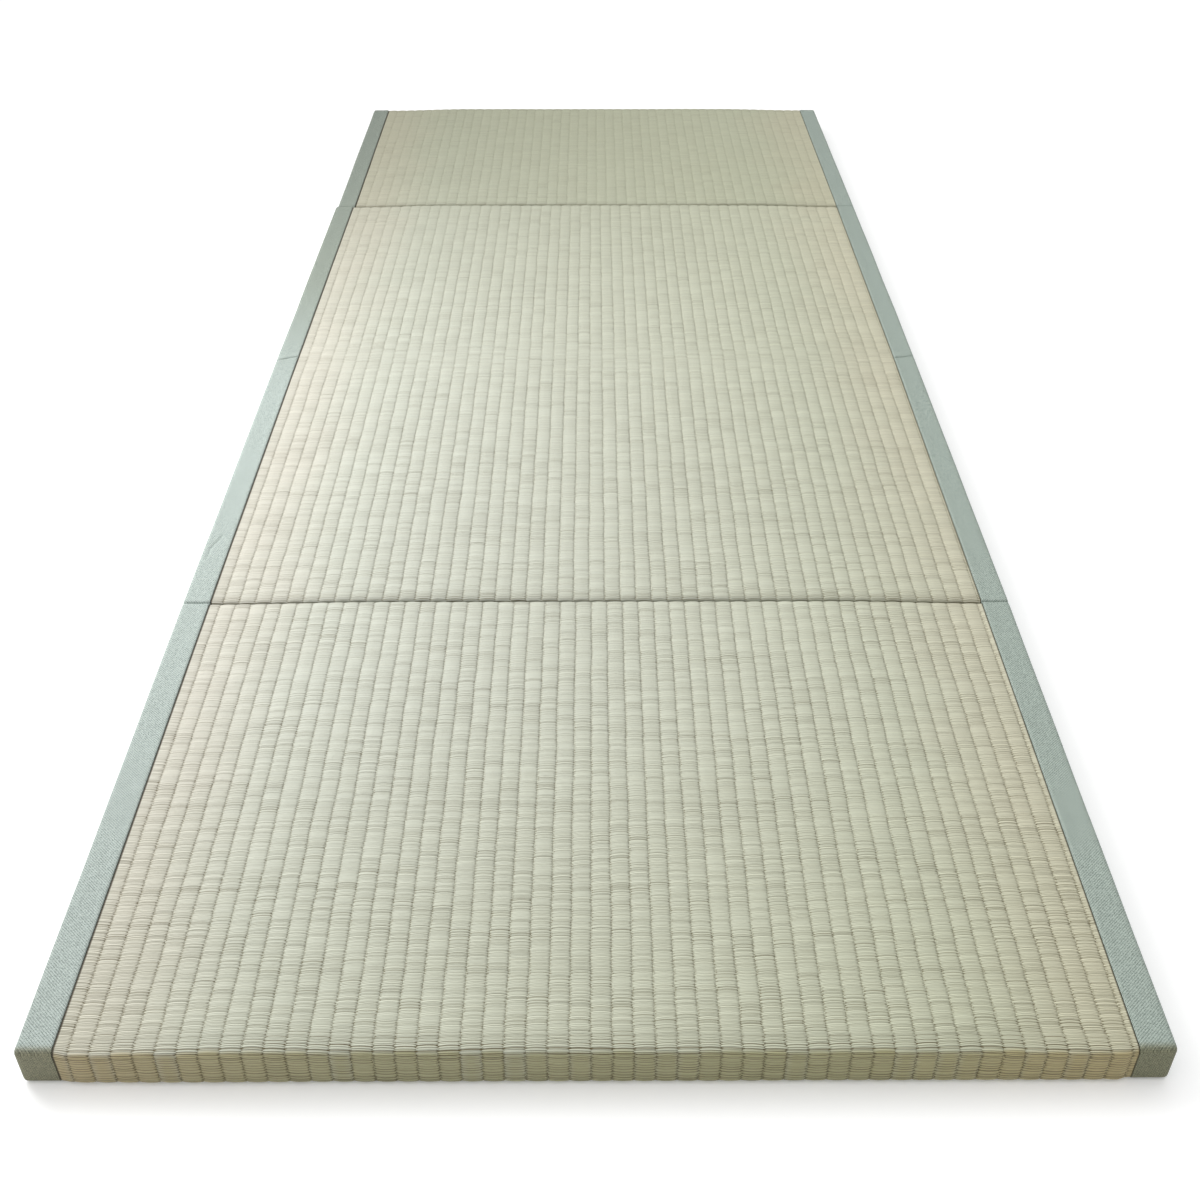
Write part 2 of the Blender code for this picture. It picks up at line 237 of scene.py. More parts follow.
def board_point(row, column):
    """Where a row and a column cross, before the ribs are pressed in."""
    x = place_in(row, column)
    on_shoulder = row.ny != 0 or row.nz > 0
    if column.covered:
        half_slit = SLIT_HALF_WIDTH if on_shoulder else SLIT_HALF_WIDTH_UNDER_BINDING
        y = row.y + row.slit * half_slit - row.ny * column.inset
        return laid_out(x, y, row.z - row.nz * column.inset - row.dip)
    # The rush meets in the slits, and stands a little proud of the bindings at both ends
    proud = RUSH_PROUD_AT_ENDS * min(1.0, (BINDING_RIM - abs(x)) / PROUD_RISE) if row.slit == 0 else 0.0
    rise = min(1.0, (BINDING_RIM - abs(x)) / CROWN_RISE)
    crown = CROWN * rise * rise * (3 - 2 * rise)
    y = row.y + row.slit * SLIT_HALF_WIDTH + row.ny * proud
    return laid_out(x, y, row.z - row.nz * column.inset * row.rib + crown * row.crown)


def board_mesh():
    """The closed board, with its straight places across and along kept for the ribs and the weave."""
    columns, side_count = facing_columns()
    rows = facing_rows()
    bm = bmesh.new()
    across_of = bm.verts.layers.float.new("across")
    along_of = bm.verts.layers.float.new("along")
    rib_of = bm.verts.layers.float.new("rib_place")
    outward_of = bm.verts.layers.float_vector.new("outward")
    backing_of = bm.faces.layers.bool.new("backing")
    strip_of = bm.faces.layers.int.new("strip")
    weave = bm.loops.layers.uv.new("weave")
    bake = bm.loops.layers.uv.new("OFBake")

    def add_vertex(row, column, along):
        vertex = bm.verts.new(board_point(row, column))
        vertex[across_of] = place_in(row, column)
        vertex[along_of] = along
        vertex[rib_of] = column.rib_place
        hidden = column.covered or abs(vertex[across_of]) > RUSH_EDGE - GAP
        shown = 0.0 if hidden else row.rib * (DEEPER_AT_SLITS if row.slit else 1.0)
        vertex[outward_of] = Vector((0.0, row.ny if row.slit == 0 else 0.0, row.nz)) * shown
        return vertex

    along = [0.0]
    for before, row in zip(rows, rows[1:]):
        along.append(along[-1] + math.hypot(row.y - before.y, row.z - before.z))
    top = [[add_vertex(row, column, s) for column in columns] for row, s in zip(rows, along)]
    half = next(i for i, s in enumerate(along) if s > along[-1] / 2)
    for i, (lower, upper) in enumerate(zip(top, top[1:])):
        for j in range(len(columns) - 1):
            face = bm.faces.new((lower[j], lower[j + 1], upper[j + 1], upper[j]))
            face[strip_of] = 1 if i < half else 2

    # The underside: for each fold, back to front, the rows between the two sections that it joins
    last = len(columns) - 1
    beside = [*range(side_count + 1), *range(last - side_count, last + 1)]
    groups = []
    for fold, y in reversed(list(zip(FOLDS, FOLD_Y))):
        group = [Row(y, 0.0, 0, -1, 0, 0, side, 0) for side in (1, -1)]
        if fold.opens == "under":
            web = [Row(y, HEIGHT - WEB, 0, 0, 0, 0, side, 0) for side in (1, -1)]
            group = [group[0], *web, group[1]]
        groups.append([[add_vertex(row, columns[j], -row.y) for j in beside] for row in group])
    turned = []
    for end, direction in ((BACK, -1), (FRONT, 1)):
        row = Row(end + direction * RUSH_TURNED_UNDER, 0.0, 0, -1, 0, 0, 0, 0)
        turned.append([add_vertex(row, columns[j], -row.y) for j in beside])
    under = [turned[0], *(row for group in groups for row in group), turned[1]]
    for upper, lower in zip(under, under[1:]):
        for j in range(len(beside) - 1):
            face = bm.faces.new((upper[j], upper[j + 1], lower[j + 1], lower[j]))
            face[backing_of] = True
    for end, row in ((top[-1], under[0]), (top[0], under[-1])):
        for j in (*range(side_count), *range(side_count + 1, len(beside) - 1)):
            a, b = beside[j], beside[j + 1]
            bm.faces.new((end[a], end[b], row[j + 1], row[j]))
        middle = end[side_count : last - side_count + 1]
        bm.faces.new([*middle, row[side_count + 1], row[side_count]])

    # The two long sides, one face for each section
    for side in (0, -1):
        upper = [row[side] for row in top]
        folds = [[row[side] for row in group] for group in groups[::-1]]
        start, before = 0, [turned[1][side]]
        for fold, group in zip(FOLDS, folds):
            if fold.opens == "top":
                floor = next(i for i in range(start, len(rows)) if rows[i].nz == 0 and rows[i].ny == 0)
                bm.faces.new([*upper[start : floor + 1], group[1], *before])
                bm.faces.new([upper[floor], upper[floor + 1], group[0], group[1]])
                start, before = floor + 1, [group[0]]
            else:
                crest = next(i for i in range(start, len(rows)) if rows[i].dip == BOARD_DIP)
                bm.faces.new([*upper[start : crest + 1], group[2], group[3], *before])
                bm.faces.new([upper[crest], group[1], group[2]])
                start, before = crest, [group[0], group[1]]
        bm.faces.new([*upper[start:], turned[0][side], *before])

    bmesh.ops.recalc_face_normals(bm, faces=bm.faces)
    for face in bm.faces:
        strip = face[strip_of]
        for loop in face.loops:
            vertex = loop.vert
            loop[weave].uv = (vertex[rib_of] * RIB_PITCH, vertex[along_of])
            # For baking, the top lies in two strips side by side, the front half and the back half, and the
            # underside and the hidden long sides share the rest
            across = (vertex[across_of] + HALF_WIDTH) / WIDTH
            length = (vertex.co.y - FRONT) / LENGTH
            if strip == 1:
                loop[bake].uv = (0.01 + 0.48 * across, 0.08 + 0.91 * vertex[along_of] / along[half])
            elif strip == 2:
                run = (vertex[along_of] - along[half]) / (along[-1] - along[half])
                loop[bake].uv = (0.51 + 0.48 * across, 0.08 + 0.91 * run)
            elif abs(face.normal.x) > 0.9:
                start = 0.055 if face.normal.x < 0 else 0.064
                loop[bake].uv = (0.01 + 0.98 * length, start + 0.006 * vertex.co.z / HEIGHT)
            else:
                loop[bake].uv = (0.01 + 0.98 * length, 0.005 + 0.045 * across)
    mesh = bpy.data.meshes.new("rush_facing")
    bm.to_mesh(mesh)
    bm.free()
    return mesh


def linear(colour):
    """An sRGB hex colour as linear values with full opacity."""
    parts = [int(colour[i : i + 2], 16) / 255 for i in (1, 3, 5)]
    return (*(c / 12.92 if c <= 0.04045 else ((c + 0.055) / 1.055) ** 2.4 for c in parts), 1.0)


def add(tree, kind, inputs=None, **settings):
    """Adds a node with its settings. A shader node's kind leaves out its first word, ShaderNode. An input is
    a value, or a node or socket to link from."""
    node = tree.nodes.new(kind if kind.startswith(("GeometryNode", "NodeGroup")) else "ShaderNode" + kind)
    for name, value in settings.items():
        setattr(node, name, value)
    for socket, value in (inputs or {}).items():
        if isinstance(value, bpy.types.Node):
            tree.links.new(next(out for out in value.outputs if out.enabled), node.inputs[socket])
        elif isinstance(value, bpy.types.NodeSocket):
            tree.links.new(value, node.inputs[socket])
        else:
            node.inputs[socket].default_value = value
    return node


def empty_material(name):
    """A material with only its output, and its node tree."""
    material = bpy.data.materials.new(name)
    material.use_nodes = True
    material.node_tree.nodes.clear()
    return material, material.node_tree


# Woven igusa: dried rush stalks, dyed by the mud that they are cured in, so each has its own straw or green
# tone and a faint gloss. In a rib every other stalk is on top; the next rib shows the ones between. Stalks
# are 1.2 mm thick. Here and there they lie apart, which shows as a thin dark line from groove to groove.
STALK_SPACING = 0.00125
OPEN_GAP_SPACING = 0.0027
RUN_LENGTH = 0.016
RAGGED_STEP = 0.0016
RAGGED_REACH = 0.0014
DRIFT = 0.004
ARCH = 0.0008
# How far along the pattern of stalks every other rib starts
OTHER_STALKS = 7.3107
# As distances before an end: where the gaps start to open and are wide open, and where the tone of the top
# starts to turn and has turned to the browned and darker one, browned by handling and darkened as painted
# shade on the end faces. This turn lies up to OWN_BEND off from rib to rib.
BENT_AT_END = (0.016, 0.004)
END_BROWN_AND_SHADE = (0.001, -0.0016)
OWN_BEND = 0.0011

rush, t = empty_material("woven_igusa_rush")
place = add(t, "SeparateXYZ", {0: add(t, "UVMap", uv_map="weave")})
across, along = place.outputs[0], place.outputs[1]
where = add(t, "TexCoord").outputs["Object"]
y_place = add(t, "SeparateXYZ", {0: where}).outputs[1]

# The ends of the stalks dive unevenly, so a groove is ragged: each stalk moves it a little
ragged_w = add(t, "Math", {0: along, 1: 1 / RAGGED_STEP}, operation="MULTIPLY")
ragged_at = add(t, "CombineXYZ", {0: ragged_w, 1: across})
ragged_noise = add(t, "TexNoise", {"Vector": ragged_at, "Scale": 1.0, "Detail": 0.0})
ragged = add(t, "MapRange", {0: ragged_noise, 1: 0.0, 2: 1.0, 3: -RAGGED_REACH, 4: RAGGED_REACH})
moved_groove = add(t, "Math", {0: across, 1: ragged}, operation="ADD")
rib_place = add(t, "Math", {0: moved_groove, 1: RIB_PITCH}, operation="DIVIDE")
rib_number = add(t, "Math", {0: rib_place}, operation="FLOOR")
rib_share = add(t, "Math", {0: rib_place, 1: rib_number}, operation="SUBTRACT")
other_rib = add(t, "Math", {0: rib_number, 1: 2.0}, operation="FLOORED_MODULO")

# Stalks run a little askew, and arch slightly over each rib
flat_place = add(t, "CombineXYZ", {0: across, 1: along})
drift_noise = add(t, "TexNoise", {"Vector": flat_place, "Scale": 7.0, "Detail": 1.0})
drift = add(t, "MapRange", {0: drift_noise, 1: 0.0, 2: 1.0, 3: -DRIFT, 4: DRIFT})
off_middle = add(t, "Math", {0: rib_share, 1: 0.5}, operation="SUBTRACT")
arch = add(t, "Math", {0: off_middle, 1: off_middle}, operation="MULTIPLY")
arched = add(t, "Math", {0: arch, 1: ARCH, 2: drift}, operation="MULTIPLY_ADD")
stalk_along = add(t, "Math", {0: along, 1: arched}, operation="ADD")
own_stalks = add(t, "Math", {0: other_rib, 1: OTHER_STALKS, 2: stalk_along}, operation="MULTIPLY_ADD")

# The rush divides into single stalks, and into groups with an open gap between them. Each stalk and each
# group has its own chance in each rib: how light it is, and how open the gap beside it.
cells = []
for spacing, looseness in ((STALK_SPACING, 0.7), (OPEN_GAP_SPACING, 1.0)):
    w = add(t, "Math", {0: own_stalks, 1: spacing}, operation="DIVIDE")
    sizes = {"W": w, "Scale": 1.0, "Randomness": looseness}
    cell = add(t, "TexVoronoi", sizes, voronoi_dimensions="1D")
    edge = add(t, "TexVoronoi", sizes, voronoi_dimensions="1D", feature="DISTANCE_TO_EDGE")
    chance = add(t, "SeparateColor", {0: cell.outputs["Color"]}).outputs[0]
    in_rib_at = add(t, "CombineXYZ", {0: chance, 1: rib_number})
    in_rib = add(t, "TexWhiteNoise", {"Vector": in_rib_at}, noise_dimensions="2D")
    cells.append((edge, in_rib))
(stalk_edge, stalk_in_rib), (open_gap_edge, group_in_rib) = cells

# The gaps are open in runs: a stretch of dark lines in one set of ribs while the other set is smooth
run_w = add(t, "Math", {0: own_stalks, 1: RUN_LENGTH}, operation="DIVIDE")
run_at = add(t, "Math", {0: across, 1: 5.0}, operation="MULTIPLY")
run_place = add(t, "CombineXYZ", {0: run_w, 1: run_at})
run_noise = add(t, "TexNoise", {"Vector": run_place, "Scale": 1.0, "Detail": 1.0})
run = add(t, "MapRange", {0: run_noise, 1: 0.40, 2: 0.60, 3: 0.50, 4: 1.0})

# Gaps are thin in the middle of a rib and widen to dark dots where the stalks dive under the warp strings
near_groove = add(t, "Math", {0: off_middle}, operation="ABSOLUTE")
dive = add(t, "MapRange", {0: near_groove, 1: 0.40, 2: 0.465, 3: 0.0, 4: 1.0})
gaps = []
for edge, thin, wide in ((stalk_edge, 0.27, 0.37), (open_gap_edge, 0.175, 0.27)):
    gap_reach = add(t, "MapRange", {0: dive, 1: 0.0, 2: 1.0, 3: thin, 4: wide})
    gaps.append(add(t, "MapRange", {0: edge, 1: gap_reach, 2: 0.0, 3: 0.0, 4: 1.0}))
stalk_dark, open_dark = gaps
stalk_skew = add(t, "Math", {0: stalk_in_rib, 1: 2.6}, operation="POWER")
stalk_strength = add(t, "MapRange", {0: stalk_skew, 1: 0.0, 2: 1.0, 3: 0.18, 4: 0.90})
open_share = add(t, "MapRange", {0: group_in_rib, 1: 0.1, 2: 0.9, 3: 0.12, 4: 1.0})
open_strength = add(t, "Math", {0: open_share, 1: run}, operation="MULTIPLY")

# Just behind each slit the stalks are bent and all gaps open, and nearer to it painted shade darkens them,
# the shade on the shoulder beside the slit. For both: how far behind the fold it starts, and where it is
# full.
OPENED = (0.016, 0.005)
SLIT_SHADE = (0.0065, 0.0025)
behind = [add(t, "Math", {0: y_place, 1: fold_y}, operation="GREATER_THAN") for fold_y in PIECE_ENDS]
at_slits = []
for start, full in (OPENED, SLIT_SHADE):
    found = []
    for fold_y, is_behind in zip(PIECE_ENDS, behind):
        near = add(t, "MapRange", {0: y_place, 1: fold_y + start, 2: fold_y + full, 3: 0.0, 4: 1.0})
        found.append(add(t, "Math", {0: near, 1: is_behind}, operation="MULTIPLY"))
    at_slits.append(add(t, "Math", {0: found[0], 1: found[1]}, operation="MAXIMUM"))
opened, painted_slit_shade = at_slits

# Gaps open too where the facing turns down over the ends, and a little at the trodden corners in front
to_end = add(t, "Math", {0: y_place}, operation="ABSOLUTE")
end_limits = {0: to_end, 1: BACK - BENT_AT_END[0], 2: BACK - BENT_AT_END[1], 3: 0.0, 4: 1.0}
bent_at_end = add(t, "MapRange", end_limits)
straight_x = add(t, "Attribute", attribute_name="across").outputs["Fac"]
from_middle = add(t, "Math", {0: straight_x}, operation="ABSOLUTE")
in_front = add(t, "MapRange", {0: y_place, 1: -1.0, 2: -0.62, 3: 1.0, 4: 0.0})
beside_binding = add(t, "MapRange", {0: from_middle, 1: 0.27, 2: 0.36, 3: 0.0, 4: 0.35})
trodden = add(t, "Math", {0: beside_binding, 1: in_front}, operation="MULTIPLY")
bent_or_trodden = add(t, "Math", {0: trodden, 1: bent_at_end}, operation="MAXIMUM")
bent = add(t, "Math", {0: opened, 1: bent_or_trodden}, operation="MAXIMUM")
dive_worn = add(t, "MapRange", {0: along, 1: 0.30, 2: 1.80, 3: 1.0, 4: 0.4})
dive_dark = add(t, "Math", {0: dive, 1: dive_worn}, operation="MULTIPLY")
lines = []
for shape, strength, when_bent, at_dive in (
    (stalk_dark, stalk_strength, 0.25, 0.20),
    (open_dark, open_strength, 0.55, 0.42),
):
    with_bend = add(t, "Math", {0: bent, 1: when_bent, 2: strength}, operation="MULTIPLY_ADD")
    with_dive = add(t, "Math", {0: dive_dark, 1: at_dive, 2: with_bend}, operation="MULTIPLY_ADD")
    lines.append(add(t, "Math", {0: shape, 1: with_dive}, operation="MULTIPLY"))
line = add(t, "Math", {0: lines[0], 1: lines[1]}, operation="MAXIMUM")

# Each groove gets a faint brown line of painted shade, fading towards the back. The gap lines are fainter
# towards the back too, where the facing is less worn.
groove_shade_share = add(t, "MapRange", {0: near_groove, 1: 0.455, 2: 0.495, 3: 0.0, 4: 0.12})
groove_shade_fade = add(t, "MapRange", {0: along, 1: 0.50, 2: 1.50, 3: 1.0, 4: 0.0})
painted_groove_shade = add(t, "Math", {0: groove_shade_share, 1: groove_shade_fade}, operation="MULTIPLY")
worn_line = add(t, "MapRange", {0: along, 1: 0.90, 2: 2.00, 3: 1.0, 4: 0.7})
line_dark = add(t, "Math", {0: line, 1: worn_line}, operation="MULTIPLY")
gap_lines_and_groove_shade = add(t, "Math", {0: line_dark, 1: painted_groove_shade}, operation="MAXIMUM")

# Beside the bindings a dark line on the rush, the painted shadow of each binding's rolled inner edge, wider
# and darker on the left as the light comes from the left: for each side, from where it is full to its edge
LEFT_SEAM_SHADOW = (0.0006, 0.0013)
RIGHT_SEAM_SHADOW = (0.0003, 0.0008)
from_seam = add(t, "Math", {0: straight_x, 1: RUSH_EDGE}, operation="ADD")
to_seam = add(t, "Math", {0: RUSH_EDGE, 1: straight_x}, operation="SUBTRACT")
left_seam_shadow = add(t, "MapRange", {0: from_seam, 1: LEFT_SEAM_SHADOW[1], 2: LEFT_SEAM_SHADOW[0], 3: 0.0, 4: 0.9})
right_seam_shadow = add(t, "MapRange", {0: to_seam, 1: RIGHT_SEAM_SHADOW[1], 2: RIGHT_SEAM_SHADOW[0], 3: 0.0, 4: 0.7})
painted_seam_shadow = add(t, "Math", {0: left_seam_shadow, 1: right_seam_shadow}, operation="MAXIMUM")

# Where the tones change: paler and less saturated round a place on the left, a painted sheen from the left
# light; straw beside the bindings; darker at the front end and at the left back corner, painted shade
painted_sheen_scale = {0: where, 1: (1.0, 0.6, 0.0), 2: (0.40, 0.27, 0.0)}
off_painted_sheen = add(t, "VectorMath", painted_sheen_scale, operation="MULTIPLY_ADD")
from_painted_sheen = add(t, "VectorMath", {0: off_painted_sheen}, operation="LENGTH").outputs["Value"]
off_corner = add(t, "VectorMath", {0: where, 1: (-0.40, 1.0, 0.0)}, operation="DISTANCE").outputs["Value"]
corner_shade = add(t, "MapRange", {0: off_corner, 1: 0.0, 2: 0.95, 3: 1.0, 4: 0.0})
tone_noise = add(t, "TexNoise", {"Vector": flat_place, "Scale": 9.0, "Detail": 2.0})
straw_place = add(t, "Math", {0: tone_noise, 1: 0.10, 2: from_middle}, operation="MULTIPLY_ADD")
soft_shares = []
for measure, start, end, first, last in (
    (from_painted_sheen, 0.15, 1.00, 1.0, 0.0),
    (straw_place, 0.29, 0.43, 0.0, 1.0),
    (from_middle, 0.12, 0.37, 0.0, 1.0),
):
    limits = {0: measure, 1: start, 2: end, 3: first, 4: last}
    soft_shares.append(add(t, "MapRange", limits, interpolation_type="SMOOTHSTEP"))
painted_sheen, straw, near_sides = soft_shares

# Each rib's bend over the ends lies a little differently, and follows how proud the rush stands there.
# Beyond it handling has browned the rush and painted shade darkens it, and handling has reddened it towards
# the sides.
rib_chance = add(t, "TexWhiteNoise", {"W": rib_number}, noise_dimensions="1D").outputs["Value"]
own_bend = add(t, "MapRange", {0: rib_chance, 1: 0.0, 2: 1.0, 3: -OWN_BEND, 4: OWN_BEND})
rise_limits = {0: from_middle, 1: BINDING_RIM - PROUD_RISE, 2: BINDING_RIM, 3: 0.0, 4: RUSH_PROUD_AT_ENDS}
less_proud = add(t, "MapRange", rise_limits)
rib_bend = add(t, "Math", {0: to_end, 1: own_bend}, operation="ADD")
bend_place = add(t, "Math", {0: rib_bend, 1: less_proud}, operation="ADD")
turn_limits = {0: bend_place, 1: BACK - END_BROWN_AND_SHADE[0], 2: BACK - END_BROWN_AND_SHADE[1], 3: 0.0, 4: 1.0}
browned_and_shaded_end = add(t, "MapRange", turn_limits)
handled = add(t, "Math", {0: near_sides, 1: browned_and_shaded_end}, operation="MULTIPLY")

# Stalks and groups differ in tone
stalk_tone = add(t, "MapRange", {0: stalk_in_rib, 1: 0.0, 2: 1.0, 3: 0.92, 4: 1.08})
group_tone = add(t, "MapRange", {0: group_in_rib.outputs["Color"], 1: 0.0, 2: 1.0, 3: 0.97, 4: 1.04})
toned = add(t, "Math", {0: stalk_tone, 1: group_tone}, operation="MULTIPLY")

# The rush's colour and its painted sheen, the tints on them, and the dark gap lines, painted groove shade and
# painted seam shadow over all
colour_and_painted_sheen = {"Factor": painted_sheen, 6: linear("#C9CCB3"), 7: linear("#C8CBBE")}
colour = add(t, "Mix", colour_and_painted_sheen, data_type="RGBA").outputs[2]
for share, tint in (
    (behind[1], (0.93, 0.935, 0.905, 1.0)),
    # painted shade, darker at the front end
    (in_front, (0.93, 0.93, 0.89, 1.0)),
    # painted shade, darker towards the left back corner
    (corner_shade, (0.85, 0.85, 0.85, 1.0)),
    # painted shade just behind the slits
    (painted_slit_shade, (0.78, 0.78, 0.78, 1.0)),
    (straw, (1.065, 1.0, 1.0, 1.0)),
    # browned by handling and darkened by painted shade on the turned-down ends
    (browned_and_shaded_end, (0.82, 0.77, 0.56, 1.0)),
    (handled, (1.14, 1.04, 1.0, 1.0)),
    (1.0, toned),
):
    tinting = {"Factor": share, 6: colour, 7: tint}
    colour = add(t, "Mix", tinting, data_type="RGBA", blend_type="MULTIPLY").outputs[2]
# The dark gap lines with their painted groove shade, then the painted seam shadow beside the bindings
for share, paint in ((gap_lines_and_groove_shade, "#5E5330"), (painted_seam_shadow, "#372C12")):
    colour = add(t, "Mix", {"Factor": share, 6: colour, 7: linear(paint)}, data_type="RGBA").outputs[2]

stalk_limits = {0: stalk_edge, 1: 0.0, 2: 0.30, 3: 0.0, 4: 0.6}
rounded = add(t, "MapRange", stalk_limits, interpolation_type="SMOOTHSTEP")
relief = add(t, "Math", {0: rounded, 1: gap_lines_and_groove_shade}, operation="SUBTRACT")
bump = add(t, "Bump", {"Strength": 0.8, "Distance": 0.0004, "Height": relief})
shader = add(t, "BsdfPrincipled", {"Base Color": colour, "Roughness": 0.6, "Normal": bump})
add(t, "OutputMaterial", {"Surface": shader})

# The backing: a plain felted sheet under the board, of short matt fibres with a faint cloudiness
backing, t = empty_material("felted_backing_sheet")
where = add(t, "TexCoord").outputs["Object"]
fibres = add(t, "TexNoise", {"Vector": where, "Scale": 900.0, "Detail": 3.0})
clouds = add(t, "TexNoise", {"Vector": where, "Scale": 18.0, "Detail": 2.0})
mottled = add(t, "Math", {0: fibres, 1: 0.5, 2: clouds}, operation="MULTIPLY_ADD")
shade = add(t, "MapRange", {0: mottled, 1: 0.4, 2: 1.1, 3: 0.0, 4: 1.0})
felt = {"Factor": shade, 6: linear("#B9B09A"), 7: linear("#CBC3AF")}
colour = add(t, "Mix", felt, data_type="RGBA").outputs[2]
bump = add(t, "Bump", {"Strength": 0.5, "Distance": 0.0003, "Height": fibres})
shader = add(t, "BsdfPrincipled", {"Base Color": colour, "Roughness": 0.9, "Normal": bump})
add(t, "OutputMaterial", {"Surface": shader})


def facing_tree():
    """Geometry nodes that press the ribs into the board and make its surface and grooves a little uneven."""
    tree = bpy.data.node_groups.new("pressed_ribs", "GeometryNodeTree")
    tree.interface.new_socket("Geometry", in_out="OUTPUT", socket_type="NodeSocketGeometry")
    tree.interface.new_socket("Geometry", in_out="INPUT", socket_type="NodeSocketGeometry")
    for name in ("Groove depth", "Depth at ends", "Depth at back", "Groove wander", "Unevenness", "Seed"):
        tree.interface.new_socket(name, in_out="INPUT", socket_type="NodeSocketFloat")
    sizes = add(tree, "NodeGroupInput").outputs
    across, along, rib_place, outward, backing_face = (
        add(tree, "GeometryNodeInputNamedAttribute", {"Name": name}, data_type=data_type)
        for name, data_type in (
            ("across", "FLOAT"),
            ("along", "FLOAT"),
            ("rib_place", "FLOAT"),
            ("outward", "FLOAT_VECTOR"),
            ("backing", "BOOLEAN"),
        )
    )

    share = add(tree, "Math", {0: rib_place, 1: 1.0}, operation="FLOORED_MODULO")
    profile = add(tree, "FloatCurve", {"Value": share})
    curve = profile.mapping.curves[0]
    deepest = max(point.depth_mm for point in RIB)
    shape = [(point.share, point.depth_mm / deepest) for point in RIB] + [(1.0, 1.0)]
    for found, (x, y) in zip(curve.points, (shape[0], shape[-1])):
        found.location = (x, y)
    for x, y in shape[1:-1]:
        curve.points.new(x, y)
    for point in curve.points:
        point.handle_type = "VECTOR"
    profile.mapping.update()
    facing_out = add(tree, "SeparateXYZ", {0: outward})
    at_end = add(tree, "Math", {0: facing_out.outputs[1]}, operation="ABSOLUTE")
    depths = {0: along, 1: 0.5, 2: 2.0, 3: sizes["Groove depth"], 4: sizes["Depth at back"]}
    on_top = add(tree, "MapRange", depths)
    depth = add(tree, "MapRange", {0: at_end, 1: 0.0, 2: 1.0, 3: on_top, 4: sizes["Depth at ends"]})
    pressed = add(tree, "Math", {0: profile, 1: depth}, operation="MULTIPLY")

    # The surface is uneven, and the grooves wander sideways
    flat_place = add(tree, "CombineXYZ", {0: across, 1: along, 2: sizes["Seed"]})
    swings = []
    for scale, amount in ((9.0, "Unevenness"), (22.0, "Groove wander")):
        waves = add(tree, "TexNoise", {"Vector": flat_place, "Scale": scale, "Detail": 1.0})
        swing = add(tree, "Math", {0: waves, 1: 0.5}, operation="SUBTRACT")
        swings.append(add(tree, "Math", {0: swing, 1: sizes[amount]}, operation="MULTIPLY"))
    uneven, wander = swings
    raised = add(tree, "Math", {0: uneven, 1: pressed}, operation="SUBTRACT")
    move = add(tree, "VectorMath", {0: outward, "Scale": raised}, operation="SCALE")

    # Next to the bindings the grooves don't wander, because the facing is sewn down there
    from_middle = add(tree, "Math", {0: across}, operation="ABSOLUTE")
    beside_seam = {0: from_middle, 1: RUSH_EDGE - SEWN_DOWN[0], 2: RUSH_EDGE - SEWN_DOWN[1], 3: 1.0, 4: 0.0}
    free = add(tree, "MapRange", beside_seam)
    shown = add(tree, "VectorMath", {0: outward}, operation="LENGTH").outputs["Value"]
    held = add(tree, "Math", {0: free, 1: shown}, operation="MULTIPLY")
    moved_x = add(tree, "Math", {0: wander, 1: held}, operation="MULTIPLY")
    sideways_move = add(tree, "CombineXYZ", {0: moved_x})
    offset = add(tree, "VectorMath", {0: move, 1: sideways_move}, operation="ADD")
    placed = add(tree, "GeometryNodeSetPosition", {"Geometry": sizes["Geometry"], "Offset": offset})
    real = add(tree, "GeometryNodeRealizeInstances", {0: placed})
    faced = add(tree, "GeometryNodeSetMaterial", {"Geometry": real, "Material": rush})
    backed = {"Geometry": faced, "Selection": backing_face, "Material": backing}
    add(tree, "NodeGroupOutput", {0: add(tree, "GeometryNodeSetMaterial", backed)})
    return tree


def in_scene(name, data):
    """A new object in the scene."""
    made = bpy.data.objects.new(name, data)
    bpy.context.scene.collection.objects.link(made)
    return made


def applied(name, mesh, tree, inputs):
    """The plain mesh that a geometry nodes tree makes of this mesh, with the named inputs set."""
    source = in_scene(name, mesh)
    modifier = source.modifiers.new(name, "NODES")
    modifier.node_group = tree
    for item in tree.interface.items_tree:
        if item.in_out == "INPUT" and item.name in inputs:
            modifier[item.identifier] = inputs[item.name]
    bpy.context.view_layer.update()
    evaluated = source.evaluated_get(bpy.context.evaluated_depsgraph_get())
    made = bpy.data.meshes.new_from_object(evaluated)
    source.modifiers.remove(modifier)
    source.data = made
    return source


facing = applied(
    "rush_facing",
    board_mesh(),
    facing_tree(),
    {
        "Groove depth": 0.70 * max(point.depth_mm for point in RIB) * MM,
        "Depth at ends": 0.0013,
        "Depth at back": 0.00042,
        "Groove wander": 0.0013,
        "Unevenness": 0.0010,
        "Seed": 3.0,
    },
)
facing.data.shade_smooth()
facing.data.set_sharp_from_angle(angle=math.radians(40))
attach(facing, "root")
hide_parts("rush_board")

# The bindings
# On each long edge a strip of woven cotton and polyester cloth, folded over the board from the top round the
# side to the underside. Its inner edge on top is turned in and sewn through the rush, so it ends in a soft
# roll. The cloth creases where the board folds, and it is tucked closed over the front and back corners.
BINDING_STEP = 0.006
FINE_STEP = 0.0009
FINE_REACH = 0.016
TUCK_STEPS = 5
ROUND_STEPS = 5
SMALLEST_CORNER = 0.0008
TOP_REACH = HALF_WIDTH - SIDE_RADIUS - BINDING_RIM
# Lines along the cloth, as distances from its rims on top and on the underside, and on its side
TOP_LINES_MM = (0.0, 0.35, 1.0, 1.7, 2.4, 3.2, 4.0, *range(5, 21))
UNDER_LINES_MM = (16.0, 10.0, 4.0, 0.0)
SIDE_LINES = 4
# How far the cloth swells and sinks along its length, on top and on the side
TOP_SWELL = 0.00035
SIDE_SWELL = 0.0005

